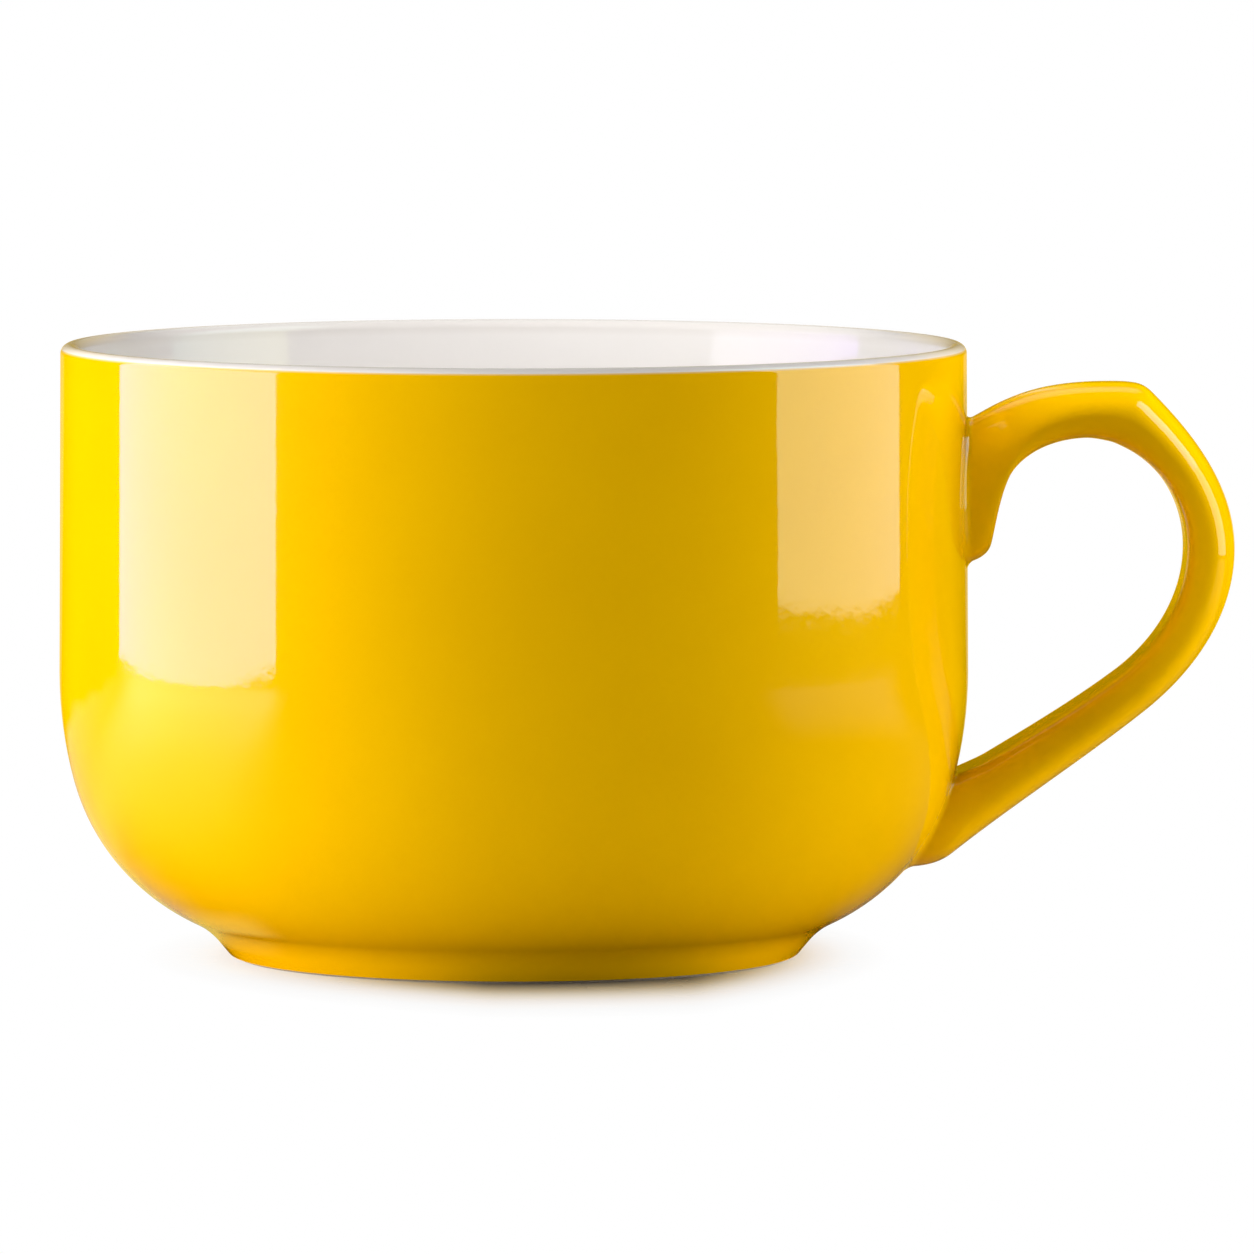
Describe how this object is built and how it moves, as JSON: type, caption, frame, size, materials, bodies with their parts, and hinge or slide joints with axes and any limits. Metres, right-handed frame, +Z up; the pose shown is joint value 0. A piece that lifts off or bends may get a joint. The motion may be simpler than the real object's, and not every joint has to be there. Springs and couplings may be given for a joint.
{
  "type": "tea cup",
  "caption": "Large glazed tea cup with a straight wall, rounded heel, low turned foot ring and a broad strap handle with a thumb rest; for holding and drinking hot drinks.",
  "frame": {"origin": "centre of the foot ring's standing face, on the table", "axes": "+Z up along the bowl's axis, +X towards the handle, +Y away from a viewer who has the handle on the right"},
  "size_m": [0.1487, 0.115, 0.0776],
  "materials": {
    "bare_clay": "fired, unglazed, fine-grained and matt",
    "slip": "fired joining clay, hidden under the handle's roots",
    "white_glaze": "glossy white glaze",
    "yellow_glaze": "glossy opaque yellow glaze with a slightly wavy surface"
  },
  "bodies": {
    "root": {"bowl": "bare_clay", "handle": "bare_clay", "upper_slip": "slip", "lower_slip": "slip", "white_glaze": "white_glaze", "yellow_glaze": "yellow_glaze", "handle_glaze": "yellow_glaze", "base_glaze": "white_glaze"}
  },
  "joints": []
}
